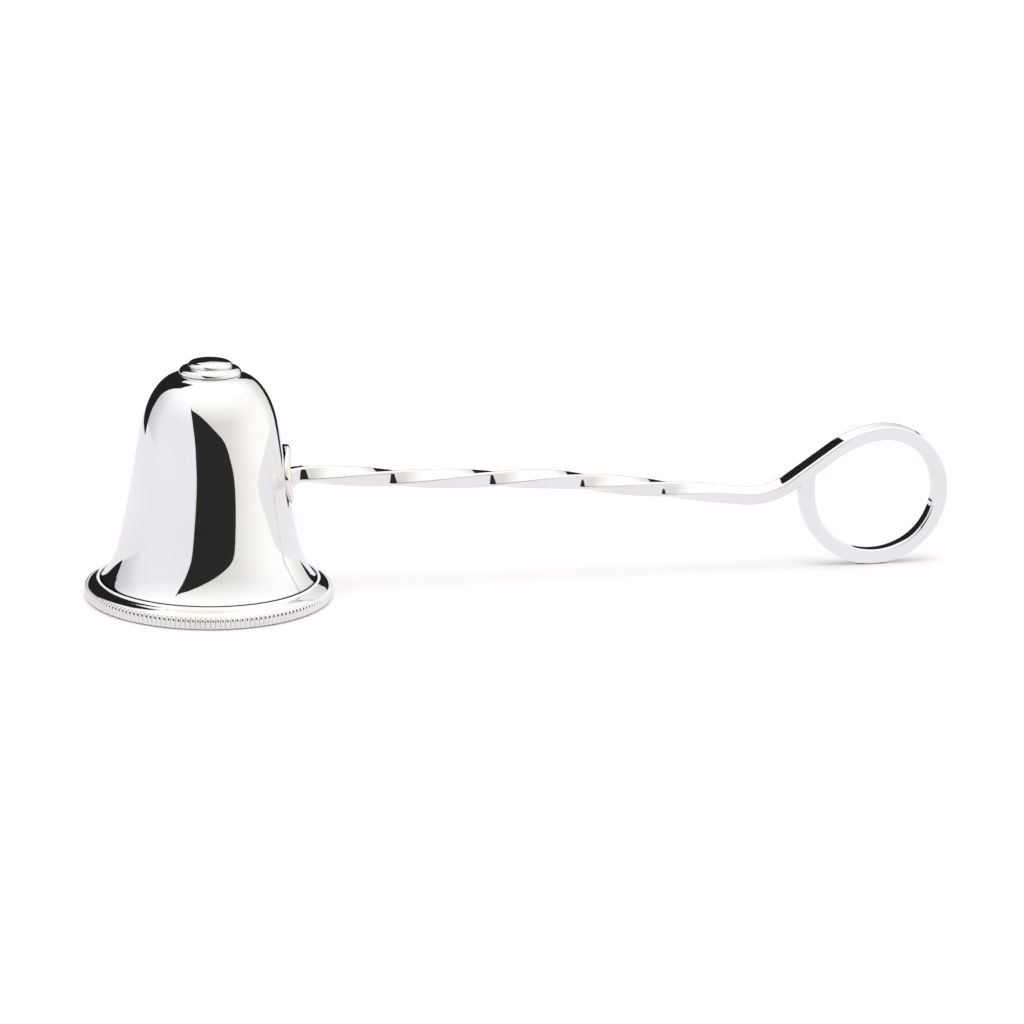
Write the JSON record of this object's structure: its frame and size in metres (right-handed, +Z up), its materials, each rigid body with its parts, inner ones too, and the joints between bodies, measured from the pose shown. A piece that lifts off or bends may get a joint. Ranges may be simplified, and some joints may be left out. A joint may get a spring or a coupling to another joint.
{
  "type": "candle snuffer",
  "caption": "Silver candle snuffer: open bell with a milled rim border and stepped crown, on a twisted square-wire handle that ends in a finger ring.",
  "frame": {"origin": "on the bell's axis, in the plane of its mouth, which is the plane that the snuffer rests on", "axes": "+Z up along the bell's axis, +X along the handle towards the finger ring"},
  "size_m": [0.1622, 0.0446, 0.0424],
  "materials": {
    "polished_silver": "mirror polished sterling silver",
    "milled_silver": "milled and polished sterling silver"
  },
  "bodies": {
    "root": {"bell": "polished_silver", "rim_border": "milled_silver", "crown_disc": "polished_silver", "crown_button": "polished_silver", "handle_rosette": "polished_silver", "handle_foot": "polished_silver", "handle_wire": "polished_silver"}
  },
  "joints": []
}
